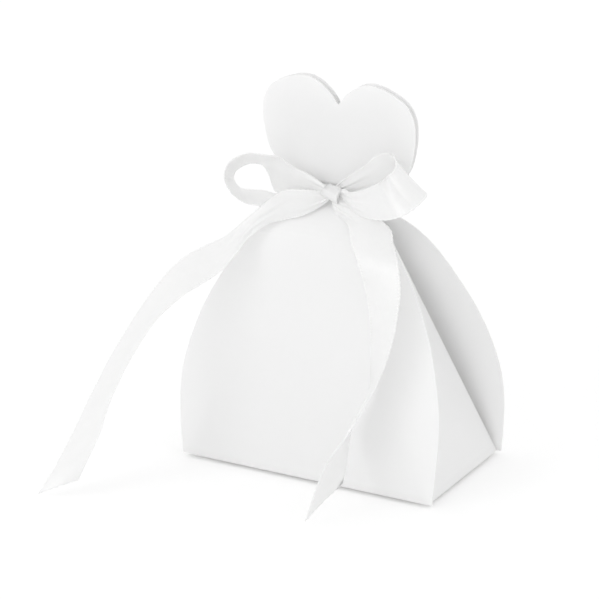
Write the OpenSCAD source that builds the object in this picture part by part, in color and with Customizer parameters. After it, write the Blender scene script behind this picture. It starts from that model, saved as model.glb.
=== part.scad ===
// Favor box cut and folded from one card blank in the shape of a wedding gown: a base,
// two curved panels that lean together at the waist, a heart above each panel, two side
// flaps tucked between the panels, and a satin ribbon tied round the waist in a bow.
// Millimetres. X is to the right, Y to the back, Z up. The origin is on the floor
// under the middle of the base.

/* [Card] */
// Width of the front and back panels where they meet the base
base_w = 80; // [66:1:100]
// Depth of the base over the outer faces of both panels
base_d = 43.5; // [36:0.5:56]
// Height of the crease at the waist
waist_h = 78; // [68:1:92]
// Thickness of the card
card_t = 0.4; // [0.25:0.05:0.6]
// Space between the two panels at the waist
waist_gap = 0.4; // [0.3:0.05:0.8]
// Clearance between two parts of the blank on either side of a crease
crease_gap = 0.2; // [0.1:0.05:0.4]

/* [Side flaps] */
// How far a side flap is set in from the ends of the panels
flap_inset = 1.2; // [0.8:0.1:3]
// Lean of a closed side flap from upright, in degrees
flap_lean = 21; // [17:0.5:24]
// Height of the waist crease over the tip of a closed side flap
flap_drop = 9.6; // [9:0.2:20]
// Width of a side flap just below its round tip
flap_tip_w = 10; // [7:0.5:11]
// Clearance between the foot of a side flap and each panel
flap_gap = 0.4; // [0.2:0.05:1]

/* [Heart] */
// Width of the straight neck that the ribbon goes round
neck_w = 18.8; // [15:0.2:22]
// Height of the straight neck
neck_h = 4; // [3.4:0.2:5]
// Width of the heart
heart_w = 48; // [38:1:60]
// Height of the heart over the neck
heart_h = 29.9; // [24:0.1:36]
// Lean of each heart away from the other, in degrees
heart_lean = 1.2; // [0:0.1:2]

/* [Ribbon] */
// Width of the ribbon laid flat
ribbon_w = 12; // [10:0.5:14]
// Thickness of the ribbon
ribbon_t = 0.3; // [0.2:0.05:0.4]
// Clearance between the ribbon and the card it lies on
ribbon_gap = 0.3; // [0.2:0.05:0.4]
// Thickness of the gathered band round the neck
band_t = 0.8; // [0.5:0.1:1.1]
// Clearance between the gathered band and each end of the neck
band_end_gap = 0.3; // [0.2:0.05:0.4]
// Length of the knot, side to side
knot_w = 5.8; // [4.6:0.2:6.6]
// Diameter of the knot at its middle
knot_d = 4.6; // [4.2:0.1:5]
// Diameter of the knot at its ends
knot_end_d = 3.6; // [3:0.1:3.9]
// Clearance between the knot and the strands that leave it
knot_gap = 0.4; // [0.3:0.05:0.6]

/* [Bow] */
// Reach of the left loop from the middle
left_loop_reach = 31; // [27:0.5:35]
// How far the left loop stands out in front of the card
left_loop_out = 9; // [8:0.5:11]
// Rise of the left loop over the knot
left_loop_rise = 8; // [7:0.5:10]
// Reach of the right loop from the middle
right_loop_reach = 27; // [24:0.5:31]
// How far the right loop stands out in front of the card
right_loop_out = 11; // [9.5:0.5:13]
// Rise of the right loop over the knot
right_loop_rise = 11.5; // [10:0.5:13]
// Distance of the left tail's tip to the side
left_tail_side = 56; // [48:1:64]
// Distance of the left tail's tip out from the front panel
left_tail_out = 43; // [38:1:50]
// Distance of the right tail's widest place to the side
right_tail_side = 25; // [22:1:30]
// Distance of the right tail's tip out from the front panel
right_tail_out = 20; // [17:1:24]

/* [Hidden] */

// Number of short steps between two rows of a table
profile_steps = 8;
outline_steps = 5;
ribbon_steps = 4;
// Smoothness of round edges
round_fn = 48;
// Gap between the two halves of the gathered band at each side of the neck
band_split = ribbon_gap;

// The hinge line of each crease runs through the middle of the card
hinge_y = (base_d - card_t)/2;
hinge_z = card_t/2;
flap_x = base_w/2 - flap_inset - card_t/2;
// From the outer face of a panel at its foot to its outer face at the waist
panel_draw = base_d/2 - card_t - waist_gap/2;
// Outer face of the front card at the waist, measured from the middle
waist_y = card_t + waist_gap/2;
flap_half = base_d/2 - card_t - flap_gap;
flap_len = (waist_h - flap_drop - hinge_z)/cos(flap_lean);

// The ribbon round the neck, and the knot in front of it
band_x = neck_w/2 + ribbon_gap;
band_y = waist_y + ribbon_gap;
band_h = neck_h - 2*band_end_gap;
knot_h = waist_h + neck_h/2;
knot_y = band_y + band_t + ribbon_gap + knot_d/2;
// Each loop and the left tail start here, beside the knot
knot_side = knot_w/2 + knot_gap;

// Side view of a panel: share of the waist's height, then share drawn in to the waist
profile_share = [[0, 0], [0.11, 0.01], [0.26, 0.068], [0.41, 0.165], [0.56, 0.303],
                 [0.72, 0.475], [0.87, 0.65], [1, 1]];

// Front view of a panel: share of the way from the neck's side to the foot's side,
// then share of the waist's height
skirt_share = [[1, 0], [1.026, 0.115], [1.042, 0.23], [1.024, 0.345], [0.96, 0.46],
               [0.863, 0.575], [0.72, 0.69], [0.555, 0.795], [0.327, 0.9],
               [0.085, 0.975], [0, 1]];

// Half of the heart: share of half its width, then share of its height
heart_share = [[0.56, 0.02], [0.77, 0.094], [0.917, 0.228], [0.985, 0.432],
               [1, 0.595], [0.975, 0.742], [0.867, 0.873], [0.63, 0.97], [0.42, 1],
               [0.265, 0.967], [0.107, 0.873], [0, 0.766]];

// Rows of the four ribbon tables: share of the way to the side, share of the distance
// out from the card, share of the height, the direction across the ribbon there, and
// the share of the ribbon's width that lies open, which is low where it is gathered
left_tail_share = [
    [0, 0.09, 0.975, 0, -0.1, 1, 0.35],
    [0.085, 0.125, 0.96, 0, -0.1, 1, 0.65],
    [0.18, 0.14, 0.94, -0.1, -0.1, 1, 0.8],
    [0.275, 0.15, 0.905, -0.35, 0, 0.9, 0.6],
    [0.375, 0.14, 0.855, -0.75, 0.25, 0.6, 0.5],
    [0.435, 0.17, 0.8, -0.75, 0.55, 0.3, 0.75],
    [0.5, 0.23, 0.76, -0.7, 0.6, 0.35, 1],
    [0.575, 0.33, 0.725, -0.75, 0.5, 0.35, 1],
    [0.64, 0.45, 0.675, -0.9, 0.45, 0.05, 1],
    [0.715, 0.58, 0.585, -0.9, 0.35, -0.3, 1],
    [0.775, 0.69, 0.48, -0.88, 0.3, -0.4, 1],
    [0.835, 0.79, 0.345, -0.88, 0.3, -0.4, 1],
    [0.885, 0.875, 0.21, -0.93, 0.2, -0.3, 1],
    [0.935, 0.94, 0.115, -0.93, 0.05, -0.35, 1],
    [0.985, 0.99, 0.037, -0.88, -0.28, -0.4, 1.05]];

right_tail_share = [
    [0.03, 0.14, 0.96, 0.95, -0.05, 0.1, 0.35],
    [0.22, 0.14, 0.937, 0.95, 0, 0.2, 0.6],
    [0.49, 0.2, 0.93, 0.97, 0.15, 0.1, 1],
    [0.62, 0.26, 0.88, 0.95, 0.22, 0.1, 1],
    [0.76, 0.33, 0.825, 0.98, 0.1, 0.18, 1],
    [0.9, 0.33, 0.745, 0.96, -0.1, 0.25, 1],
    [0.97, 0.37, 0.66, 0.89, -0.3, 0.35, 1],
    [0.985, 0.37, 0.58, 0.81, -0.45, 0.37, 1],
    [0.97, 0.36, 0.5, 0.71, -0.6, 0.36, 1],
    [0.94, 0.36, 0.425, 0.55, -0.7, 0.46, 1],
    [0.85, 0.36, 0.35, 0.5, -0.72, 0.46, 1],
    [0.75, 0.41, 0.275, 0.45, -0.8, 0.4, 1],
    [0.7, 0.51, 0.215, 0.25, -0.87, 0.42, 1],
    [0.69, 0.68, 0.16, -0.05, -0.92, 0.4, 1],
    [0.68, 0.84, 0.11, -0.2, -0.97, 0.1, 1],
    [0.665, 0.97, 0.05, -0.3, -0.84, -0.45, 1.26]];

left_loop_share = [
    [0, 0.22, -0.1, 0.1, -0.1, -0.9, 0.35],
    [0.25, 0.33, -0.37, 0.2, -0.1, -0.9, 0.42],
    [0.485, 0.36, -0.6, 0.35, -0.6, -0.7, 0.65],
    [0.705, 0.42, -0.69, 0.47, -0.87, 0, 0.95],
    [0.865, 0.62, -0.6, 0.5, -0.86, 0, 1],
    [0.95, 0.82, -0.335, 0.35, -0.92, 0.17, 1],
    [0.99, 0.93, 0.13, 0.26, -0.9, 0.35, 1],
    [0.95, 0.88, 0.56, 0.26, -0.83, 0.48, 1],
    [0.8, 0.76, 0.89, 0.32, -0.78, 0.53, 1],
    [0.64, 0.7, 0.9, 0.42, -0.72, 0.55, 1],
    [0.53, 0.62, 0.7, 0.53, -0.55, 0.65, 1],
    [0.425, 0.58, 0.3, 0.63, -0.2, 0.75, 1],
    [0.205, 0.47, 0.04, 0.45, -0.1, 0.87, 0.7],
    [0, 0.38, 0, 0.2, -0.1, 0.9, 0.35]];

right_loop_share = [
    [0, 0.34, 0, 0.2, -0.1, 0.95, 0.3],
    [0.125, 0.52, -0.02, 0.3, -0.35, 0.85, 0.5],
    [0.34, 0.74, 0.03, 0.15, -0.25, 0.95, 0.75],
    [0.59, 0.89, 0.19, 0.1, -0.2, 0.97, 1],
    [0.79, 0.98, 0.4, -0.28, 0.13, 0.95, 1],
    [0.93, 0.98, 0.64, -0.55, 0.07, 0.84, 1],
    [1.01, 0.85, 0.93, -0.7, -0.2, 0.67, 1],
    [0.93, 0.66, 1, -0.72, -0.2, 0.65, 1],
    [0.745, 0.52, 1, -0.35, -0.5, 0.8, 1],
    [0.535, 0.43, 0.79, -0.27, -0.35, 0.9, 0.9],
    [0.315, 0.33, 0.5, -0.15, -0.3, 0.93, 0.75],
    [0.105, 0.25, 0.2, -0.05, -0.35, 0.92, 0.55],
    [0, 0.18, 0.06, 0, -0.1, 0.95, 0.3]];

// A smooth curve through four rows, between the second and the third, and its rate
function blend(a, b, c, d, t) =
    (2*b + (c - a)*t + (2*a - 5*b + 4*c - d)*t*t + (3*b - a - 3*c + d)*t*t*t)/2;
function blend_rate(a, b, c, d, t) =
    ((c - a) + 2*(2*a - 5*b + 4*c - d)*t + 3*(3*b - a - 3*c + d)*t*t)/2;

// The rows with one more at each end, straight on
function extended(rows) =
    let (n = len(rows) - 1)
    concat([2*rows[0] - rows[1]], rows, [2*rows[n] - rows[n - 1]]);

// Points of the smooth curve through all the rows, and the rates at the same points
function smooth(rows, steps) =
    let (p = extended(rows), n = len(rows) - 1)
    [for (i = [0:n - 1]) for (k = [0:steps - 1])
        blend(p[i], p[i + 1], p[i + 2], p[i + 3], k/steps),
     rows[n]];
function smooth_rate(rows, steps) =
    let (p = extended(rows), n = len(rows) - 1)
    [for (i = [0:n - 1]) for (k = [0:steps - 1])
        blend_rate(p[i], p[i + 1], p[i + 2], p[i + 3], k/steps),
     rows[n] - rows[n - 1]];

function unit(v) = v/norm(v);
function flipped(points) = [for (i = [len(points) - 1:-1:0]) [-points[i][0], points[i][1]]];

// Side view of the front panel, as points in Y and Z
profile_rows = [for (s = profile_share) [s[1]*panel_draw - base_d/2, s[0]*waist_h]];
profile_outer = smooth(profile_rows, profile_steps);
profile_rate = smooth_rate(profile_rows, profile_steps);
profile_last = len(profile_outer) - 1;
profile_inner = [for (i = [profile_last - 1:-1:0])
    let (along = unit(profile_rate[i]))
    profile_outer[i] + card_t*[along[1], -along[0]]];
profile_heights = [for (p = profile_outer) [p[1], p[0]]];

// Y of the front panel's outer face at height z
function face_y(z) = lookup(z, profile_heights);

// Front view of a panel
skirt_rows = [for (s = skirt_share)
    [neck_w/2 + s[0]*(base_w - neck_w)/2, hinge_z + s[1]*(waist_h - hinge_z)]];
skirt_side = smooth(skirt_rows, outline_steps);

// Front view of a heart with its neck, from the waist up
heart_rows = concat([[neck_w/2, neck_h]],
    [for (s = heart_share) [s[0]*heart_w/2, neck_h + s[1]*heart_h]]);
heart_side = smooth(heart_rows, outline_steps);
heart_half = concat([[neck_w/2, 0]], heart_side);

// A ribbon station is its middle and the way from there to one edge, as six numbers.
// The middle of a tail stays high enough to keep its lower edge off the floor.
function half_width(row) = unit([row[3], row[4], row[5]])*row[6]*ribbon_w/2;
function tail_station(row, x, out) =
    let (w = half_width(row), z = max(row[2]*knot_h, abs(w[2]) + ribbon_t))
    [x, face_y(z) - row[1]*out, z, w[0], w[1], w[2]];
function loop_station(row, x, out, rise) =
    let (w = half_width(row))
    [x, -waist_y - row[1]*out, knot_h + row[2]*rise, w[0], w[1], w[2]];
function beside_knot(share, reach) = knot_side + share*(reach - knot_side);

// The four corners of a ribbon's section
function ribbon_section(station, rate) =
    let (middle = [station[0], station[1], station[2]],
         edge = [station[3], station[4], station[5]],
         face = unit(cross([rate[0], rate[1], rate[2]], edge))*ribbon_t/2)
    [middle + edge + face, middle - edge + face,
     middle - edge - face, middle + edge - face];

// A ribbon through its stations: one section at each, four sides, two ends
module ribbon_strip(stations) {
    middles = smooth(stations, ribbon_steps);
    rates = smooth_rate(stations, ribbon_steps);
    last = len(middles) - 1;
    points = [for (i = [0:last]) each ribbon_section(middles[i], rates[i])];
    sides = [for (i = [0:last - 1]) for (j = [0:3])
        let (a = 4*i + j, b = 4*i + (j + 1) % 4)
        each [[a, b + 4, b], [a, a + 4, b + 4]]];
    ends = [[0, 1, 2], [0, 2, 3],
            [4*last + 2, 4*last + 1, 4*last], [4*last + 3, 4*last + 2, 4*last]];
    polyhedron(points, concat(sides, ends));
}

module base_panel() {
    color("white")
        translate([0, 0, card_t/2])
            cube([2*(flap_x - card_t/2 - crease_gap),
                  2*(hinge_y - card_t/2 - crease_gap), card_t], center = true);
}

// The front panel: its side view run across, cut to its front view, on a round crease
module panel() {
    intersection() {
        rotate([90, 0, 90])
            translate([0, 0, -base_w])
                linear_extrude(2*base_w)
                    polygon(concat(profile_outer, [[-waist_gap/2, waist_h]],
                                   profile_inner));
        rotate([90, 0, 0])
            linear_extrude(base_d)
                polygon(concat(skirt_side, flipped(skirt_side)));
    }
    translate([-base_w/2, -hinge_y, hinge_z])
        rotate([0, 90, 0])
            cylinder(h = base_w, d = card_t, $fn = round_fn);
}

// The front heart and neck, which leans from the outer edge of the waist crease
module heart() {
    translate([0, -waist_y, waist_h])
        rotate([90 + heart_lean, 0, 0])
            translate([0, 0, -card_t])
                linear_extrude(card_t)
                    polygon(concat(heart_half, flipped(heart_half)));
}

module front_panel() {
    color("white") panel();
}

module front_heart() {
    color("white") heart();
}

module back_panel() {
    color("white") mirror([0, 1, 0]) panel();
}

module back_heart() {
    color("white") mirror([0, 1, 0]) heart();
}

// The right side flap on its crease, leaning in, with a round tip
module side_flap() {
    tip_r = flap_tip_w/2;
    translate([flap_x, 0, hinge_z]) {
        rotate([90, 0, 0])
            cylinder(h = 2*flap_half, d = card_t, center = true, $fn = round_fn);
        rotate([0, -flap_lean, 0])
            rotate([90, 0, 90])
                translate([0, 0, -card_t/2])
                    linear_extrude(card_t) {
                        polygon([[-flap_half, 0], [flap_half, 0],
                                 [tip_r, flap_len - tip_r], [-tip_r, flap_len - tip_r]]);
                        translate([0, flap_len - tip_r])
                            circle(tip_r, $fn = round_fn);
                    }
    }
}

module right_flap() {
    color("white") side_flap();
}

module left_flap() {
    color("white") mirror([1, 0, 0]) side_flap();
}

// A barrel: its side is one arc through both ends and the middle
module ribbon_knot() {
    bulge = (knot_d - knot_end_d)/2;
    arc_r = (knot_w*knot_w/4 + bulge*bulge)/(2*bulge);
    color("whitesmoke")
        translate([0, -knot_y, knot_h])
            rotate([0, 90, 0])
                rotate_extrude($fn = round_fn)
                    intersection() {
                        translate([knot_d/2 - arc_r, 0])
                            circle(arc_r, $fn = 4*round_fn);
                        translate([0, -knot_w/2])
                            square([knot_d, knot_w]);
                    }
}

module ribbon_left_loop() {
    color("whitesmoke")
        ribbon_strip([for (row = left_loop_share)
            loop_station(row, -beside_knot(row[0], left_loop_reach),
                         left_loop_out, left_loop_rise)]);
}

module ribbon_right_loop() {
    color("whitesmoke")
        ribbon_strip([for (row = right_loop_share)
            loop_station(row, beside_knot(row[0], right_loop_reach),
                         right_loop_out, right_loop_rise)]);
}

module ribbon_left_tail() {
    color("whitesmoke")
        ribbon_strip([for (row = left_tail_share)
            tail_station(row, -beside_knot(row[0], left_tail_side), left_tail_out)]);
}

module ribbon_right_tail() {
    color("whitesmoke")
        ribbon_strip([for (row = right_tail_share)
            tail_station(row, row[0]*right_tail_side, right_tail_out)]);
}

// The front half of the gathered band: a strand and two short legs, with round corners
module band_half() {
    translate([0, 0, knot_h - band_h/2])
        linear_extrude(band_h)
            difference() {
                union() {
                    translate([-band_x, -band_y - band_t])
                        square([2*band_x, band_y + band_t - band_split/2]);
                    translate([-band_x - band_t, -band_y])
                        square([2*(band_x + band_t), band_y - band_split/2]);
                    for (side = [-1, 1])
                        translate([side*band_x, -band_y])
                            circle(band_t, $fn = round_fn);
                }
                translate([-band_x, -band_y])
                    square([2*band_x, band_y]);
            }
}

module ribbon_band_front() {
    color("whitesmoke") band_half();
}

module ribbon_band_back() {
    color("whitesmoke") mirror([0, 1, 0]) band_half();
}

base_panel();
front_panel();
front_heart();
back_panel();
back_heart();
left_flap();
right_flap();
ribbon_knot();
ribbon_left_loop();
ribbon_right_loop();
ribbon_left_tail();
ribbon_right_tail();
ribbon_band_front();
ribbon_band_back();
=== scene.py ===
import math

import bpy
import numpy as np
from mathutils import Matrix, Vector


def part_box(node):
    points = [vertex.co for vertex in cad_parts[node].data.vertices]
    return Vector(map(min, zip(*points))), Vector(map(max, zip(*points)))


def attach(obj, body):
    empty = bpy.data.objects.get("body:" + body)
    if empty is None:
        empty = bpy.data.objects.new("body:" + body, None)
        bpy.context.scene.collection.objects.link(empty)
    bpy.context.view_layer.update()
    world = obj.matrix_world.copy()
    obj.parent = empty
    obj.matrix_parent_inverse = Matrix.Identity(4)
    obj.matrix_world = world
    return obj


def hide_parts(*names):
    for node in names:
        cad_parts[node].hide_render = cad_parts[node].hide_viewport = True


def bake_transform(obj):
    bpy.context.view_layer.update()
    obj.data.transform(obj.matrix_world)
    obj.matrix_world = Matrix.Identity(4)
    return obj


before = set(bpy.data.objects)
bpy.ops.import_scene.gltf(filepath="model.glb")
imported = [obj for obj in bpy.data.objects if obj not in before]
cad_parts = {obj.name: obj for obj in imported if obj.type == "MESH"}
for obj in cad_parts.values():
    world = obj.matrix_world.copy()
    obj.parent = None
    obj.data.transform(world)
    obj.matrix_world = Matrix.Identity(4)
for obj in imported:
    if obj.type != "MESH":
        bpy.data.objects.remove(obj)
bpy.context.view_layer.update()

MM = 0.001


def node_box(node):
    """Lowest and highest corner of a CAD node, in millimetres."""
    low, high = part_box(node)
    return np.array(low) / MM, np.array(high) / MM


# From the CAD solids: the card's thickness, the front panel's foot and waist, and the
# knot's middle, width and height
panel_low, panel_high = node_box("front_panel")
band_low, band_high = node_box("ribbon_band_front")
knot_low, knot_high = node_box("ribbon_knot")
CARD_T = node_box("base_panel")[1][2]
FOOT_Y = panel_low[1]
WAIST_H = panel_high[2]
WAIST_Y = panel_high[1] - CARD_T
KNOT = (knot_low + knot_high) / 2
KNOT_W = knot_high[0] - knot_low[0]
KNOT_H = knot_high[2] - knot_low[2]
FLAP_LEAN = 21  # degrees

# The ribbon, laid flat: two woven edges with picots, and small puckers beside them.
# PICOT_FROM and PUCKER_FROM are shares of the way out from the middle line. The last
# EDGE_ROUND of the way is rounded off, down to EDGE_THIN of the thickness. FRAY_WAVES are
# in radians from the middle line to an edge
RIBBON_W = 12.0
RIBBON_T = 0.24
SELVEDGE = 0.45
PICOT_PITCH = 1.5
PICOT_DEPTH = 0.24
PICOT_FROM = 0.9
PUCKER_PITCH = 0.85
PUCKER_DEPTH = 0.1
PUCKER_FROM = 0.66
HEM_W = 0.2
HEM_SWELL = 0.5
EDGE_THIN = 0.15
EDGE_ROUND = 0.02
FRAY = 0.3
FRAY_WAVES = (61, 23)

# The ribbon, tied. A strip starts KNOT_GAP from the knot and hangs at least TABLE_GAP above
# the table. The knot and the turn round the neck wrap UNDER_SKIN inside their solids
KNOT_GAP = 0.4
TABLE_GAP = 0.3
UNDER_SKIN = 0.4

# The knot's wrap: its tilt in degrees, where it starts and ends in turns, the share that it
# grows by, how far it wanders, and half its width as a share of the knot's
KNOT_TILT = 16
KNOT_TURNS = (-0.1, 1.1)
KNOT_GROWTH = 0.14
KNOT_WANDER = 0.3
KNOT_OPEN = 0.42

# Folds. They grow by a power until MOST_DRAWN of the width is drawn in. A crest bends
# across the ribbon and shifts along it by shares of half its width. Puckers fade down to
# PUCKER_LEAST of their height, and creases swing about CREASE_MEAN of theirs
MOST_DRAWN = 0.7
FOLD_GROWTH = 1.3
CREST_BEND = 0.14
CREST_SHIFT = 0.06
SMALL_FOLD = 0.45
CREASE_BEND = 0.16
CREASE_MEAN = 0.6
PUCKER_LEAST = 0.4
PUCKER_GROWTH = 1.5

# Grids: points across a flat strip and a folded one, how much they crowd at the edges, the
# gap between rows along the strip, the steps between two rows of a table or of the panel's
# side view, and the rows of the knot's wrap
FLAT_COUNT = 40
FOLDED_COUNT = 60
EDGE_CROWDING = 0.35
ROW_GAP = 0.16
KNOT_ROW_GAP = 0.1
TABLE_STEPS = 16
PROFILE_STEPS = 8
KNOT_ROWS = 33

# Finishes. Tones are red, green and blue, dark and light. A roughness is the least, what the
# shade adds and what a cut or woven edge adds. CARD_GLOW and SATIN_GLOW are how far light
# goes in, in metres, as the height of the card's darker foot is
CARD_FACE = [(0.93, 0.93, 0.928), (0.97, 0.97, 0.968)]
CARD_CUT = [(0.88, 0.877, 0.868), (0.955, 0.952, 0.945)]
CARD_FOOT_TONE = (0.76, 0.755, 0.745)
CARD_ROUGHNESS = (0.42, 0.2, 0.3)
CARD_GLOW = 0.0005
FOOT_DARKENING_HEIGHT = 0.0025
FOOT_DARKENING_STRENGTH = 0.5
SATIN_FACE = [(0.86, 0.86, 0.857), (0.945, 0.945, 0.942)]
# The woven edges' tone is lighter than the face: partly their own tone, partly a painted
# highlight along the hem
SATIN_EDGE_TONE_AND_HIGHLIGHT = (0.99, 0.99, 0.987)
SATIN_ROUGHNESS = (0.29, 0.16, 0.35)
SATIN_GLOW = 0.0004
GLOW_SHARE = 0.7

# Patterns: the card's fibres, their share of its shade, and how little a cut edge faces the
# card's own normal. Then the satin's floats and clouds in one ribbon's width, and the height
# of its ribs, with what the woven edges add to it
FIBRE_SQUEEZE = 0.45
FIBRE_SHARE = 0.35
CUT_EDGE_FACING = 0.45
FLOATS_PER_WIDTH = 7.0
SATIN_CLOUDS = 3.2
RIB_HEIGHT = 0.12
EDGE_RIB_EXTRA = 0.35

# How far each part of the bow reaches, as the solids do
LEFT_LOOP = {"side": -31.0, "out": 9.0, "rise": 8.0}
RIGHT_LOOP = {"side": 27.0, "out": 11.0, "rise": 11.5}
LEFT_TAIL = {"side": -56.0, "out": 43.0}
RIGHT_TAIL = {"side": 25.0, "out": 20.0}

# Side view of a panel: share of the waist's height, then share drawn in to the waist
PROFILE_SHARE = [[0, 0], [0.11, 0.01], [0.26, 0.068], [0.41, 0.165], [0.56, 0.303],
                 [0.72, 0.475], [0.87, 0.65], [1, 1]]

# Rows of the four ribbon tables: share of the way to the side, share of the distance
# out from the card, share of the height, the direction across the ribbon there, and
# the share of the ribbon's width that lies open
LEFT_TAIL_SHARE = [
    [0, 0.09, 0.975, 0, -0.1, 1, 0.35],
    [0.092, 0.11, 0.957, 0, -0.1, 1, 0.65],
    [0.194, 0.11, 0.94, -0.12, -0.1, 1, 0.72],
    [0.293, 0.11, 0.903, -0.3, 0, 0.92, 0.48],
    [0.381, 0.12, 0.848, -0.7, 0.25, 0.65, 0.42],
    [0.432, 0.17, 0.803, -0.75, 0.5, 0.35, 0.66],
    [0.5, 0.23, 0.76, -0.7, 0.6, 0.35, 1],
    [0.575, 0.33, 0.725, -0.75, 0.5, 0.35, 1],
    [0.64, 0.45, 0.675, -0.9, 0.45, 0.05, 1],
    [0.715, 0.58, 0.585, -0.9, 0.35, -0.3, 1],
    [0.775, 0.69, 0.48, -0.88, 0.3, -0.4, 1],
    [0.835, 0.79, 0.345, -0.88, 0.3, -0.4, 1],
    [0.885, 0.875, 0.21, -0.93, 0.2, -0.3, 1],
    [0.935, 0.94, 0.115, -0.93, 0.05, -0.35, 1],
    [0.985, 0.99, 0.037, -0.88, -0.28, -0.4, 1.05]]
RIGHT_TAIL_SHARE = [
    [0.05, 0.13, 0.959, 0.5, -0.05, 0.85, 0.42],
    [0.25, 0.14, 0.943, 0.75, -0.05, 0.6, 0.62],
    [0.53, 0.2, 0.917, 0.97, 0.15, 0.12, 1],
    [0.655, 0.26, 0.875, 0.95, 0.22, 0.1, 1],
    [0.8, 0.33, 0.825, 0.98, 0.1, 0.18, 1],
    [0.9, 0.33, 0.745, 0.96, -0.1, 0.25, 1],
    [0.97, 0.37, 0.66, 0.89, -0.3, 0.35, 1],
    [0.985, 0.37, 0.58, 0.81, -0.45, 0.37, 1],
    [0.97, 0.36, 0.5, 0.71, -0.6, 0.36, 1],
    [0.94, 0.36, 0.425, 0.55, -0.7, 0.46, 1],
    [0.85, 0.36, 0.35, 0.5, -0.72, 0.46, 1],
    [0.75, 0.41, 0.275, 0.45, -0.8, 0.4, 1],
    [0.7, 0.51, 0.215, 0.25, -0.87, 0.42, 1],
    [0.69, 0.68, 0.16, -0.05, -0.92, 0.4, 1],
    [0.68, 0.84, 0.11, -0.2, -0.97, 0.1, 1],
    [0.665, 0.97, 0.05, -0.3, -0.84, -0.45, 1.26]]
LEFT_LOOP_SHARE = [
    [0, 0.2, -0.1, 0.1, -0.1, -0.9, 0.35],
    [0.25, 0.24, -0.37, 0.2, -0.1, -0.9, 0.42],
    [0.485, 0.36, -0.76, 0.35, -0.6, -0.7, 0.5],
    [0.7, 0.42, -0.66, 0.47, -0.87, -0.05, 1],
    [0.865, 0.62, -0.6, 0.5, -0.86, 0, 1],
    [0.95, 0.82, -0.335, 0.35, -0.92, 0.17, 1],
    [0.99, 0.93, 0.13, 0.26, -0.9, 0.35, 1],
    [0.95, 0.88, 0.56, 0.26, -0.83, 0.48, 1],
    [0.8, 0.76, 0.89, 0.32, -0.78, 0.53, 1],
    [0.64, 0.7, 0.9, 0.42, -0.72, 0.55, 1],
    [0.56, 0.45, 0.635, 0.55, -0.5, 0.67, 1],
    [0.46, 0.31, 0.15, 0.6, -0.2, 0.77, 1],
    [0.229, 0.34, -0.01, 0.45, -0.05, 0.87, 0.75],
    [0, 0.38, 0, 0.2, -0.1, 0.9, 0.35]]
RIGHT_LOOP_SHARE = [
    [0, 0.34, 0, 0.2, -0.1, 0.95, 0.3],
    [0.125, 0.52, -0.02, 0.3, -0.35, 0.85, 0.5],
    [0.34, 0.74, 0.03, 0.15, -0.25, 0.95, 0.75],
    [0.59, 0.89, 0.19, 0.1, -0.2, 0.97, 1],
    [0.79, 0.98, 0.4, -0.28, 0.13, 0.95, 1],
    [0.938, 0.99, 0.62, -0.55, 0.07, 0.84, 1],
    [1.02, 0.86, 0.88, -0.7, -0.2, 0.67, 1],
    [0.89, 0.66, 0.945, -0.52, -0.18, 0.84, 1],
    [0.745, 0.52, 1, -0.35, -0.5, 0.8, 1],
    [0.535, 0.43, 0.79, -0.27, -0.35, 0.9, 0.9],
    [0.315, 0.33, 0.5, -0.15, -0.3, 0.93, 0.75],
    [0.09, 0.25, 0.25, -0.15, -0.3, 0.92, 0.55],
    [-0.06, 0.18, 0.1, -0.35, -0.1, 0.9, 0.32]]

# Half of the turn round the neck, seen from above: shares of its reach and of its way out
BAND_OUTLINE = [[1, 0], [1.005, 0.45], [0.965, 0.9], [0.86, 1], [0.4, 1.02], [0, 1.02],
                [-0.4, 1.02], [-0.86, 1], [-0.965, 0.9], [-1.005, 0.45], [-1, 0]]

# The camera stands where the photograph was taken from, found from the box's outline
PICTURE = 599
FOCAL_PIXELS = 3879.76
SENSOR = 36.0
CAMERA_AT = (488.5, -894.05, 444.74)
CAMERA_AZIMUTH = 29.315
CAMERA_ELEVATION = 21.333
CAMERA_ROLL = -0.618


def add_camera():
    """The camera's axes are its right, its up and its back, turned by the roll."""
    r = math.radians(CAMERA_ROLL)
    back = direction(CAMERA_AZIMUTH, CAMERA_ELEVATION)
    level = direction(CAMERA_AZIMUTH + 90, 0)
    upright = np.cross(level, -back)
    right = math.cos(r) * level + math.sin(r) * upright
    up = math.cos(r) * upright - math.sin(r) * level
    camera = bpy.data.cameras.new("camera")
    camera.sensor_width = SENSOR
    camera.lens = SENSOR * FOCAL_PIXELS / PICTURE
    camera.clip_end = 20
    seat = bpy.data.objects.new("camera", camera)
    bpy.context.scene.collection.objects.link(seat)
    seat.matrix_world = Matrix([
        [right[i], up[i], back[i], CAMERA_AT[i] * MM] for i in range(3)] + [[0, 0, 0, 1]])
    bpy.context.scene.camera = seat


# Lights and floor, in metres, watts and shares of white. White card in a white hollow
# needs more bounces of light than most scenes. The soft lights are broad glows in the sky
WHITE_BOUNCES = 12
FLOOR_SIZE = 6.0
FLOOR_WHITE = 0.93
FLOOR_LIFT = 0.15
FLOOR_DROP = 0.0009
SKY = 0.86
SOFT_LIGHTS = {
    # name: azimuth, elevation, strength
    "front": (0, 8, 0.1),
    "behind": (180, 20, 0.2),
}
LAMPS = {
    # name: azimuth, elevation, distance, width, power
    "window": (-26, 32, 0.95, 0.4, 0.65),
    "low_glint": (-29, 12, 0.8, 0.15, 0.35),
    "high_glint": (-10, 20, 0.8, 0.15, 0.6),
}
# The two small lamps show only in gloss, where they give the satin its glints
GLOSS_LAMPS = ("low_glint", "high_glint")


def direction(azimuth, elevation):
    """One metre from the object: azimuth 0 is to its front, and 90 to its right."""
    a, e = math.radians(azimuth), math.radians(elevation)
    return np.array([math.sin(a) * math.cos(e), -math.cos(a) * math.cos(e), math.sin(e)])


def join(tree, node, inputs):
    """Each input of a node set to its value, or joined to the output given for it."""
    for key, value in inputs.items():
        if isinstance(value, bpy.types.NodeSocket):
            tree.links.new(value, node.inputs[key])
        else:
            node.inputs[key].default_value = value


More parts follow.
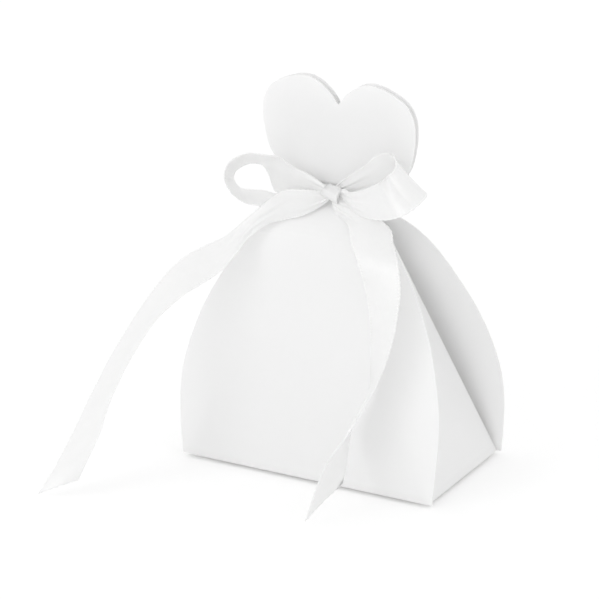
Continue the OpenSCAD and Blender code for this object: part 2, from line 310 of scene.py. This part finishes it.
def wire(tree, kind, inputs=None, **settings):
    """A new node of that kind, with its settings and its inputs."""
    node = tree.nodes.new(kind)
    for key, value in settings.items():
        setattr(node, key, value)
    join(tree, node, inputs or {})
    return node


def sums(tree, operation, *values):
    """One Math node's output for the values, which are numbers or sockets."""
    return wire(tree, "ShaderNodeMath", dict(enumerate(values)), operation=operation).outputs[0]


def averaged(tree, first, second, share):
    """That share of the first value, and the rest of the second."""
    return sums(tree, "MULTIPLY_ADD", first, share, sums(tree, "MULTIPLY", second, 1 - share))


def facing(tree, first, second):
    """How far two directions agree: their dot product."""
    return wire(tree, "ShaderNodeVectorMath", {0: first, 1: second},
                operation="DOT_PRODUCT").outputs["Value"]


def noise(tree, place, scale, detail, roughness):
    """Soft noise, from 0 to 1."""
    return wire(tree, "ShaderNodeTexNoise", {
        "Vector": place, "Scale": scale, "Detail": detail, "Roughness": roughness}).outputs[0]


def mixed(tree, share, first, second):
    """The colour that share of the way from the first to the second, each of which is a
    socket, or red, green and blue."""
    ends = [end if isinstance(end, bpy.types.NodeSocket) else end + (1,)
            for end in (first, second)]
    return wire(tree, "ShaderNodeMix", {0: share, "A": ends[0], "B": ends[1]},
                data_type="RGBA").outputs["Result"]


def new_finish(name):
    """A new material, with its node tree and its surface."""
    finish = bpy.data.materials.new(name)
    finish.use_nodes = True
    return finish, finish.node_tree, finish.node_tree.nodes["Principled BSDF"]


def sees_background(tree):
    """1 for rays from the camera and for rays in gloss or glass, and 0 for the rest."""
    path = wire(tree, "ShaderNodeLightPath")
    gloss = sums(tree, "MAXIMUM", path.outputs["Is Glossy Ray"],
                 path.outputs["Is Transmission Ray"])
    return sums(tree, "MAXIMUM", path.outputs["Is Camera Ray"], gloss)


def add_floor():
    """A pale floor, which the camera sees lifted to white outside the shadow."""
    half = FLOOR_SIZE / 2
    mesh = bpy.data.meshes.new("floor")
    corners = [(-half, -half), (half, -half), (half, half), (-half, half)]
    mesh.from_pydata([(x, y, -FLOOR_DROP) for x, y in corners], [], [(0, 1, 2, 3)])
    floor = bpy.data.objects.new("floor", mesh)
    bpy.context.scene.collection.objects.link(floor)
    paint, tree, surface = new_finish("floor_paint")
    join(tree, surface, {
        "Base Color": (FLOOR_WHITE,) * 3 + (1,),
        "Roughness": 0.9,
        "Specular IOR Level": 0.1,
        "Emission Color": (1, 1, 1, 1),
        "Emission Strength": sums(tree, "MULTIPLY", sees_background(tree), FLOOR_LIFT)})
    mesh.materials.append(paint)


def add_sky():
    """Even white light. A broad glow adds its strength times the square of how far a
    direction faces it. The camera and gloss see plain white instead."""
    world = bpy.data.worlds.new("world")
    world.use_nodes = True
    tree = world.node_tree
    away = wire(tree, "ShaderNodeTexCoord").outputs["Generated"]
    glow = SKY
    for azimuth, elevation, strength in SOFT_LIGHTS.values():
        faced = facing(tree, away, direction(azimuth, elevation))
        spread = sums(tree, "POWER", sums(tree, "MAXIMUM", faced, 0), 2)
        glow = sums(tree, "MULTIPLY_ADD", spread, strength, glow)
    seen = sees_background(tree)
    dimmed = sums(tree, "MULTIPLY", glow, sums(tree, "SUBTRACT", 1, seen))
    join(tree, tree.nodes["Background"], {
        "Color": (1, 1, 1, 1),
        "Strength": sums(tree, "ADD", dimmed, seen)})
    bpy.context.scene.world = world


def add_lamps():
    """Square lamps, which face the middle of the box."""
    middle = np.array([0, 0, WAIST_H / 2]) * MM
    for name, (azimuth, elevation, distance, width, power) in LAMPS.items():
        back = direction(azimuth, elevation)
        right = direction(azimuth + 90, 0)
        up = np.cross(back, right)
        at = middle + back * distance
        lamp = bpy.data.lights.new(name, "AREA")
        lamp.size = width
        lamp.energy = power
        stand = bpy.data.objects.new(name, lamp)
        bpy.context.scene.collection.objects.link(stand)
        stand.visible_diffuse = name not in GLOSS_LAMPS
        stand.matrix_world = Matrix([
            [right[i], up[i], back[i], at[i]] for i in range(3)] + [[0, 0, 0, 1]])


def new_group(name, inputs, outputs):
    """A shader node group with named inputs and outputs, and its two end nodes."""
    group = bpy.data.node_groups.new(name, "ShaderNodeTree")
    for key, (kind, value) in inputs.items():
        socket = group.interface.new_socket(key, in_out="INPUT", socket_type=kind)
        if value is not None:
            socket.default_value = value
    for key in outputs:
        group.interface.new_socket(key, in_out="OUTPUT", socket_type="NodeSocketFloat")
    return group, group.nodes.new("NodeGroupInput"), group.nodes.new("NodeGroupOutput")


def grain_group():
    """Paper grain: fine fibres over soft clouds, as a height and as a shade."""
    group, given, out = new_group(
        "paper_grain",
        {"Place": ("NodeSocketVector", None), "Fibres per metre": ("NodeSocketFloat", 1800.0),
         "Clouds per metre": ("NodeSocketFloat", 90.0)},
        ["Height", "Shade"])
    place = given.outputs["Place"]
    lengthened = wire(group, "ShaderNodeMapping", {
        "Vector": place, "Scale": (1, 1, FIBRE_SQUEEZE)}).outputs[0]
    fibres = noise(group, lengthened, given.outputs["Fibres per metre"],
                   detail=3.0, roughness=0.6)
    clouds = noise(group, place, given.outputs["Clouds per metre"], detail=4.0, roughness=0.55)
    join(group, out, {
        "Height": fibres,
        "Shade": averaged(group, fibres, clouds, FIBRE_SHARE)})
    return group


def edge_group():
    """Where a card's thin cut edge shows: the face is square to the card's own normal."""
    group, given, out = new_group(
        "cut_edge", {"Card normal": ("NodeSocketVector", (0, 1, 0))}, ["Mask"])
    own = wire(group, "ShaderNodeTexCoord").outputs["Normal"]
    agreement = sums(group, "ABSOLUTE", facing(group, own, given.outputs[0]))
    join(group, out, {"Mask": sums(group, "LESS_THAN", agreement, CUT_EDGE_FACING)})
    return group


def weave_group():
    """Satin weave on the ribbon's own map, where U is 1 across and V counts ribbon widths:
    long lengthwise floats, fine crosswise ribs, and a mask for the two woven edges."""
    group, given, out = new_group(
        "satin_weave",
        {"Map": ("NodeSocketVector", None), "Floats across": ("NodeSocketFloat", 46.0),
         "Ribs per width": ("NodeSocketFloat", 52.0),
         "Edge share": ("NodeSocketFloat", SELVEDGE / RIBBON_W)},
        ["Height", "Shade", "Edge"])
    parts = wire(group, "ShaderNodeSeparateXYZ", {0: given.outputs["Map"]})
    u, v = parts.outputs[0], parts.outputs[1]
    rib_rate = sums(group, "MULTIPLY", given.outputs["Ribs per width"], 2 * math.pi)
    ribs = sums(group, "SINE", sums(group, "MULTIPLY", v, rib_rate))
    stretched = wire(group, "ShaderNodeCombineXYZ", {
        0: sums(group, "MULTIPLY", u, given.outputs["Floats across"]),
        1: sums(group, "MULTIPLY", v, FLOATS_PER_WIDTH)}).outputs[0]
    floats = noise(group, stretched, 1.0, detail=2.0, roughness=0.5)
    clouds = noise(group, given.outputs["Map"], SATIN_CLOUDS, detail=3.0, roughness=0.6)
    from_middle = sums(group, "ABSOLUTE", sums(group, "SUBTRACT", u, 0.5))
    edge = sums(group, "GREATER_THAN", from_middle,
                sums(group, "SUBTRACT", 0.5, given.outputs["Edge share"]))
    rib_height = sums(group, "MULTIPLY_ADD", edge, EDGE_RIB_EXTRA, RIB_HEIGHT)
    join(group, out, {
        "Height": sums(group, "MULTIPLY_ADD", ribs, rib_height, floats),
        "Shade": averaged(group, floats, clouds, 0.5),
        "Edge": edge})
    return group


def uneven_roughness(tree, amounts, shade, edge):
    """Roughness: the least, and what the shade and the edge add to it."""
    least, by_shade, by_edge = amounts
    return sums(tree, "MULTIPLY_ADD", edge, by_edge,
                sums(tree, "MULTIPLY_ADD", shade, by_shade, least))


def glowing(surface, depth):
    """Light goes a little way in, the same for each colour."""
    surface.inputs["Subsurface Weight"].default_value = GLOW_SHARE
    surface.inputs["Subsurface Radius"].default_value = (1, 1, 1)
    surface.inputs["Subsurface Scale"].default_value = depth


def card_finish(name, normal, grain, edges):
    """Smooth white card: paper grain, faint clouds, a fibrous cut edge, and a mottled darker
    foot.
    """
    finish, tree, surface = new_finish(name)
    place = wire(tree, "ShaderNodeTexCoord").outputs["Object"]
    paper = wire(tree, "ShaderNodeGroup", {"Place": place}, node_tree=grain).outputs
    cut = wire(tree, "ShaderNodeGroup", {"Card normal": normal}, node_tree=edges).outputs[0]
    face = mixed(tree, paper["Shade"], *CARD_FACE)
    fibrous = mixed(tree, paper["Height"], *CARD_CUT)
    clean = mixed(tree, cut, face, fibrous)
    # The card darkens towards its foot in a mottled band, fading out a few millimetres above the
    # floor
    near_foot = wire(tree, "ShaderNodeMapRange", {
        "Value": wire(tree, "ShaderNodeSeparateXYZ", {0: place}).outputs[2],
        "From Min": 0.0, "From Max": FOOT_DARKENING_HEIGHT,
        "To Min": FOOT_DARKENING_STRENGTH, "To Max": 0.0}).outputs[0]
    foot_darkening = sums(tree, "MULTIPLY", near_foot, paper["Shade"])
    bump = wire(tree, "ShaderNodeBump", {
        "Height": paper["Height"], "Strength": 0.35, "Distance": 0.00004})
    join(tree, surface, {
        "Base Color": mixed(tree, foot_darkening, clean, CARD_FOOT_TONE),
        "Roughness": uneven_roughness(tree, CARD_ROUGHNESS, paper["Shade"], cut),
        "Specular IOR Level": 0.35,
        "Sheen Weight": 0.08,
        "Sheen Roughness": 0.5,
        "Normal": bump.outputs[0]})
    glowing(surface, CARD_GLOW)
    return finish


def satin_finish(name, weave):
    """White satin: bright lengthwise floats that shine crosswise, and matt woven edges."""
    finish, tree, surface = new_finish(name)
    place = wire(tree, "ShaderNodeUVMap", uv_map="ribbon").outputs[0]
    cloth = wire(tree, "ShaderNodeGroup", {"Map": place}, node_tree=weave).outputs
    face = mixed(tree, cloth["Shade"], *SATIN_FACE)
    bump = wire(tree, "ShaderNodeBump", {
        "Height": cloth["Height"], "Strength": 0.3, "Distance": 0.00006})
    # The woven edges are painted lighter than the face: partly their own tone, partly a painted
    # highlight along the hem
    join(tree, surface, {
        "Base Color": mixed(tree, cloth["Edge"], face, SATIN_EDGE_TONE_AND_HIGHLIGHT),
        "Roughness": uneven_roughness(tree, SATIN_ROUGHNESS, cloth["Shade"], cloth["Edge"]),
        "Specular IOR Level": 0.6,
        "Anisotropic": 0.5,
        "Sheen Weight": 0.2,
        "Sheen Roughness": 0.35,
        "Normal": bump.outputs[0]})
    glowing(surface, SATIN_GLOW)
    return finish


def lengths(vectors):
    """The length of each row of vectors."""
    return np.linalg.norm(vectors, axis=-1, keepdims=True)


def smooth(rows, steps):
    """A Catmull-Rom curve through all the rows, straight on at both ends: a share t past
    row b of a, b, c, d it is half of 2b + (c-a)t + (2a-5b+4c-d)tt + (3b-a-3c+d)ttt."""
    rows = np.asarray(rows, float)
    p = np.vstack([2 * rows[0] - rows[1], rows, 2 * rows[-1] - rows[-2]])
    a, b, c, d = (p[i:len(rows) - 1 + i, None, :] for i in range(4))
    t = (np.arange(steps) / steps)[None, :, None]
    curve = (2 * b + (c - a) * t + (2 * a - 5 * b + 4 * c - d) * t ** 2
             + (3 * b - a - 3 * c + d) * t ** 3) / 2
    return np.vstack([curve.reshape(-1, rows.shape[1]), rows[-1:]])


def evenly(curve, gap):
    """The curve again at equal lengths of its middle line, and the length at each row."""
    steps = lengths(np.diff(curve[:, :3], axis=0))[:, 0]
    length = np.concatenate([[0], np.cumsum(steps)])
    along = np.linspace(0, length[-1], int(length[-1] / gap) + 1)
    columns = [np.interp(along, length, column) for column in curve.T]
    return np.column_stack(columns), along


panel_profile = smooth(
    [[up * WAIST_H, FOOT_Y + inwards * (WAIST_Y - FOOT_Y)] for up, inwards in PROFILE_SHARE],
    PROFILE_STEPS)


def face_y(z):
    """Y of the front panel's outer face at height z."""
    return np.interp(z, panel_profile[:, 0], panel_profile[:, 1])


def half_widths(rows):
    """From the ribbon's middle to one edge: the direction, made one long, times the open
    share of half the ribbon's width."""
    return rows[:, 3:6] / lengths(rows[:, 3:6]) * rows[:, 6:] * RIBBON_W / 2


def beside_knot(share, side):
    """X at a share of the way from the knot's side to the part's furthest place."""
    start = math.copysign(KNOT_W / 2 + KNOT_GAP, side)
    return start + share * (side - start)


def loop_stations(table, size):
    """A loop's rows as middles and half widths, measured from the knot's height and from
    the front of the card at the waist."""
    rows = np.array(table, float)
    middles = np.column_stack([
        beside_knot(rows[:, 0], size["side"]),
        WAIST_Y - rows[:, 1] * size["out"],
        KNOT[2] + rows[:, 2] * size["rise"]])
    return np.hstack([middles, half_widths(rows)])


def tail_stations(table, size, from_knot):
    """A tail's rows as middles and half widths. Its distance out is measured from the front
    panel at its own height, and its lower edge stays off the floor."""
    rows = np.array(table, float)
    halves = half_widths(rows)
    z = np.maximum(rows[:, 2] * KNOT[2], abs(halves[:, 2]) + TABLE_GAP)
    x = beside_knot(rows[:, 0], size["side"]) if from_knot else rows[:, 0] * size["side"]
    return np.column_stack([x, face_y(z) - rows[:, 1] * size["out"], z, halves])


def tucked(stations, start, end):
    """The strip carried on into the knot at its start, its end or both: the new row lies
    a third of the way out from the knot's middle and is two thirds as wide."""
    rows = [stations]
    if start:
        rows.insert(0, inner_row(stations[0]))
    if end:
        rows.append(inner_row(stations[-1]))
    return np.vstack(rows)


def inner_row(row):
    """One row inside the knot, on the way from its middle to the given row."""
    middle = KNOT + (row[:3] - KNOT) / 3
    return np.concatenate([middle, row[3:] * 2 / 3])[None, :]


def across_ribbon(count):
    """Shares across the ribbon from -1 to 1: a mix of even steps and of a sine's, which
    crowd near both edges."""
    even = np.linspace(-1, 1, count)
    return np.sin(even * math.pi / 2) * EDGE_CROWDING + even * (1 - EDGE_CROWDING)


def beyond(c, start):
    """0 up to the start, a share of the way out from the middle line, then up to 1."""
    return np.clip((np.abs(c) - start) / (1 - start), 0, 1)


def wave(along, reach, phase=0.0):
    """A sine along the ribbon, with so many millimetres to a radian."""
    return np.sin(along / reach + phase)


def gathered(folds, phase, most, arch):
    """A section drawn together where only a share q of its width lies open. Folds of two
    lengths, with bent and slowly shifting crests, grow with the share of the width that is
    drawn in, and the whole section arches by a parabola. Adding 0 * q gives every row its
    own copy, here and in the other sections."""
    def section(c, q, along):
        drawn = np.clip((1 - q) / MOST_DRAWN, 0, 1) ** FOLD_GROWTH
        bend = CREST_BEND * np.sin(2.6 * c + phase)
        shift = CREST_SHIFT * wave(along, reach=2.3)
        crest = math.pi * folds * (c + bend + shift)
        small = SMALL_FOLD * wave(along, reach=3.5, phase=1.7 * crest + 2 * phase)
        height = np.sin(crest + phase) + small
        return c + 0 * q, drawn * (most * height + arch * (1 - c ** 2))
    return section


def folded_in_three(depth):
    """A section folded flat in three layers: up, down and up again, one behind another."""
    def section(c, q, along):
        share = (c + 1) / 2
        return -np.cos(3 * math.pi * share) + 0 * q, (share - 0.5) * depth + 0 * q
    return section


def rolled(turns, depth, folds, phase, most):
    """A section folded flat in so many layers, the last one outermost and whole, with soft
    creases that all layers share."""
    def section(c, q, along):
        share = (c + 1) / 2
        side = np.cos(turns * math.pi * (1 - share)) + 0 * q
        bent = side + CREASE_BEND * wave(along, reach=1.9, phase=2 * side + phase)
        fade = CREASE_MEAN + (1 - CREASE_MEAN) * wave(along, reach=2.1)
        crease = np.sin(math.pi * folds * bent + phase) * fade
        return side, (share - 0.5) * depth + most * crease
    return section


def ripples(c, along, size):
    """Slow uneven waves along the ribbon."""
    return size * wave(along, reach=3.1, phase=0.8 * c) * wave(along, reach=7.7, phase=1.9)


def picots(c, along):
    """Small scallops in the woven edges, as a share of half the ribbon's width."""
    scallop = np.abs(np.sin(along * math.pi / PICOT_PITCH + 0.4 * np.sign(c)))
    near_edge = beyond(c, PICOT_FROM) ** 2 * np.sign(c)
    return near_edge * (scallop - 0.5) * 2 * PICOT_DEPTH / RIBBON_W


def puckers(c, along):
    """Small ribs square to the woven edges, which come and go along the ribbon."""
    fade = wave(along, reach=5.3, phase=0.6 * np.sign(c)) ** 2
    height = PUCKER_DEPTH * (PUCKER_LEAST + (1 - PUCKER_LEAST) * fade)
    drift = 1.3 * wave(along, reach=1.7)
    ribs = np.sin(along * 2 * math.pi / PUCKER_PITCH + drift + 3 * c)
    return height * beyond(c, PUCKER_FROM) ** PUCKER_GROWTH * ribs


def dented(c, along, dents):
    """Soft ridges across the ribbon: each a bell curve along it, at a place that shifts by
    the slant from one edge to the other."""
    depth = 0 * c * along
    for place, slant, width, height in dents:
        depth = depth + height * np.exp(-((along - place - slant * c) / width) ** 2)
    return depth


def fray(grid, ahead, c):
    """Move the last two rows ahead by an uneven length at each thread, the product of two
    sines."""
    uneven = np.sin(FRAY_WAVES[0] * c[0]) * np.sin(FRAY_WAVES[1] * c[0] + 1)
    for row, share in ((-1, 1), (-2, 0.4)):
        grid[row] = grid[row] + ahead * (uneven * FRAY * share)[:, None]


def thickened(grid, c):
    """Closed rings of points, with half the thickness on both sides of the surface, swollen
    at the hem by a bell curve and rounded off at the edges."""
    normal = np.cross(np.gradient(grid, axis=0), np.gradient(grid, axis=1))
    normal = normal / np.maximum(lengths(normal), 1e-9)
    round_off = np.sqrt(np.clip((1 - np.abs(c)) / EDGE_ROUND, 0, 1))
    hem = np.exp(-((1 - np.abs(c)) * RIBBON_W / 2 - SELVEDGE / 2) ** 2 / HEM_W ** 2)
    rounded = EDGE_THIN + (1 - EDGE_THIN) * round_off
    thick = (RIBBON_T / 2 * rounded * (1 + HEM_SWELL * hem))[:, :, None]
    top = grid + normal * thick
    bottom = grid - normal * thick
    return np.concatenate([top, bottom[:, ::-1]], axis=1)


def ribbon_shape(stations, section, gap=ROW_GAP, count=FLAT_COUNT, ripple=0.1, cup=0.0,
                 dents=(), edged=True, cut=False):
    """A strip of ribbon: its rings of points, its map and its length. A point lies at the
    middle, plus the section's share of the half width, plus the section's depth, the
    ripples, puckers, dents and the cup along the strip's face. Then it is given thickness,
    and a cut end frays."""
    curve, along = evenly(smooth(stations, TABLE_STEPS), gap)
    middle = curve[:, None, :3]
    half = curve[:, None, 3:6]
    rate = np.gradient(curve[:, :3], axis=0)[:, None, :]
    face = np.cross(rate, half)
    face = face / lengths(face)
    s = along[:, None]
    c = across_ribbon(count)[None, :]
    q = np.minimum(lengths(half)[:, :, 0] * 2 / RIBBON_W, 1)
    side, depth = section(c, q, s)
    if edged:
        side = side + picots(c, s)
        depth = depth + puckers(c, s)
    depth = depth + ripples(c, s, ripple) * q + cup * (1 - c ** 2) + dented(c, s, dents)
    grid = middle + side[:, :, None] * half + depth[:, :, None] * face
    if cut:
        fray(grid, rate[-1] / lengths(rate[-1]), c)
    u = np.concatenate([(c + 1) / 2, (c[:, ::-1] + 1) / 2], axis=1)
    uv = np.stack(np.broadcast_arrays(u, s / RIBBON_W), axis=-1)
    return thickened(grid, c), uv, along[-1]


def tube_faces(rows, ring):
    """Quads round a tube of closed rings, and quads that close its two flat ends."""
    i = np.arange(rows - 1)[:, None] * ring
    j = np.arange(ring)[None, :]
    k = (j + 1) % ring
    sides = np.stack([i + j, i + k, i + ring + k, i + ring + j], axis=-1).reshape(-1, 4)
    a = np.arange(ring // 2 - 1)
    start = np.stack([a, ring - 1 - a, ring - 2 - a, a + 1], axis=-1)
    last = (rows - 1) * ring
    end = np.stack([a, a + 1, ring - 2 - a, ring - 1 - a], axis=-1) + last
    return np.vstack([sides, start, end])


def outwards(points, faces):
    """The faces, turned round if the volume that they enclose comes out negative."""
    a, b, c, d = (points[faces[:, i]] for i in range(4))
    volume = (a * np.cross(b, c)).sum() + (a * np.cross(c, d)).sum()
    return faces if volume > 0 else faces[:, ::-1]


def new_piece(name, points, faces, uv, finish):
    """A smooth mesh from points in millimetres and quads, with its map and its material."""
    mesh = bpy.data.meshes.new(name)
    faces = outwards(points, faces)
    mesh.vertices.add(len(points))
    mesh.vertices.foreach_set("co", (points * MM).astype(np.float32).ravel())
    mesh.loops.add(faces.size)
    mesh.loops.foreach_set("vertex_index", faces.astype(np.int32).ravel())
    mesh.polygons.add(len(faces))
    mesh.polygons.foreach_set("loop_start", np.arange(0, faces.size, 4, dtype=np.int32))
    mesh.update(calc_edges=True)
    layer = mesh.uv_layers.new(name="ribbon")
    layer.data.foreach_set("uv", uv[faces.ravel()].astype(np.float32).ravel())
    mesh.polygons.foreach_set("use_smooth", np.ones(len(faces), bool))
    mesh.validate()
    mesh.materials.append(finish)
    piece = bpy.data.objects.new(name, mesh)
    bpy.context.scene.collection.objects.link(piece)
    return piece


def ribbon_piece(name, node, shape, finish):
    """A strip of the ribbon that stands for one CAD node, which it hides."""
    ring, uv, length = shape
    rows, count = ring.shape[:2]
    piece = new_piece(name, ring.reshape(-1, 3), tube_faces(rows, count),
                      uv.reshape(-1, 2), finish)
    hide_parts(node)
    return piece


def knot_stations():
    """The knot's wrap: the middle goes round the knot a little more than once, growing, on
    a ring that is tilted about Y, with the ribbon's width along the ring's axis."""
    turn = np.linspace(*KNOT_TURNS, KNOT_ROWS)[:, None] * 2 * math.pi
    grown = 1 - KNOT_GROWTH + KNOT_GROWTH * (turn / turn[-1])
    radius = (KNOT_H / 2 - UNDER_SKIN) * grown
    tilt = math.radians(KNOT_TILT)
    axis = np.array([math.cos(tilt), 0, -math.sin(tilt)])
    up = np.array([math.sin(tilt), 0, math.cos(tilt)])
    middles = (KNOT + np.cos(turn) * radius * [0, 1, 0] + np.sin(turn) * radius * up
               + KNOT_WANDER * np.sin(1.5 * turn) * axis)
    halves = (KNOT_W * KNOT_OPEN + KNOT_WANDER * np.sin(2 * turn + 1)) * axis
    return np.hstack([middles, halves])


def band_stations(side):
    """Half of the turn round the neck: a strand across the card and a short leg at each
    end, with the ribbon's width upright. side is -1 for the front and 1 for the back."""
    reach = band_high[0] - UNDER_SKIN
    out = -band_low[1] - UNDER_SKIN
    middle = (band_low[2] + band_high[2]) / 2
    half = (band_high[2] - band_low[2]) / 2
    return np.array([
        [x * reach, side * y * out, middle, 0, 0, half] for x, y in BAND_OUTLINE])


add_camera()
add_floor()
add_sky()
add_lamps()

# The card: the CAD nodes are the shapes, and get their finish here
grain = grain_group()
edges = edge_group()
weave = weave_group()
lean = math.radians(FLAP_LEAN)
CARD_FINISHES = {
    # name: the card's own normal, and the nodes
    "upright_card": ((0, 1, 0), ["front_panel", "front_heart", "back_panel", "back_heart"]),
    "right_flap_card": ((math.cos(lean), 0, math.sin(lean)), ["right_flap"]),
    "left_flap_card": ((-math.cos(lean), 0, math.sin(lean)), ["left_flap"]),
    "base_card": ((0, 0, 1), ["base_panel"]),
}
for finish_name, (normal, nodes) in CARD_FINISHES.items():
    finish = card_finish(finish_name, normal, grain, edges)
    for node in nodes:
        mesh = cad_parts[node].data
        mesh.materials.clear()
        mesh.materials.append(finish)

satin = satin_finish("white_satin", weave)

# The bow, in millimetres. A dent is its place along the strip, its slant, width and height
knot = ribbon_piece(
    "bow_knot", "ribbon_knot",
    ribbon_shape(knot_stations(), rolled(turns=2.45, depth=0.9, folds=1.7, phase=0.6, most=0.11),
                 gap=KNOT_ROW_GAP, count=FOLDED_COUNT, ripple=0.12, edged=False,
                 dents=[(4.2, 0.8, 0.6, -0.14), (7.5, -0.7, 0.5, 0.12),
                        (10.2, 0.5, 0.6, -0.12)]),
    satin)
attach(knot, "front")

left_loop = ribbon_piece(
    "bow_left_loop", "ribbon_left_loop",
    ribbon_shape(tucked(loop_stations(LEFT_LOOP_SHARE, LEFT_LOOP), start=True, end=True),
                 gathered(folds=3, phase=0.4, most=0.22, arch=0.3)),
    satin)
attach(left_loop, "front")

right_loop = ribbon_piece(
    "bow_right_loop", "ribbon_right_loop",
    ribbon_shape(tucked(loop_stations(RIGHT_LOOP_SHARE, RIGHT_LOOP), start=True, end=True),
                 gathered(folds=3, phase=1.1, most=0.24, arch=0.4),
                 dents=[(22.5, -2.2, 1.3, 0.55), (27.0, -2.2, 1.1, 0.45)]),
    satin)
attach(right_loop, "front")

left_tail = ribbon_piece(
    "bow_left_tail", "ribbon_left_tail",
    ribbon_shape(tucked(tail_stations(LEFT_TAIL_SHARE, LEFT_TAIL, from_knot=True),
                        start=True, end=False),
                 gathered(folds=2, phase=0.9, most=0.22, arch=-0.45), cut=True),
    satin)
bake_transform(left_tail)

right_tail = ribbon_piece(
    "bow_right_tail", "ribbon_right_tail",
    ribbon_shape(tucked(tail_stations(RIGHT_TAIL_SHARE, RIGHT_TAIL, from_knot=False),
                        start=True, end=False),
                 gathered(folds=3, phase=0.2, most=0.2, arch=0.3), cup=0.5, cut=True),
    satin)
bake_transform(right_tail)

# The gathered turn round the neck
for half, side in (("front", -1), ("back", 1)):
    band = ribbon_piece(
        f"band_{half}", f"ribbon_band_{half}",
        ribbon_shape(band_stations(side), folded_in_three(depth=0.5), count=FOLDED_COUNT,
                     ripple=0.02, edged=False),
        satin)
    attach(band, half)

bpy.context.scene.view_settings.view_transform = "Standard"
bpy.context.scene.cycles.diffuse_bounces = WHITE_BOUNCES
bpy.context.view_layer.update()
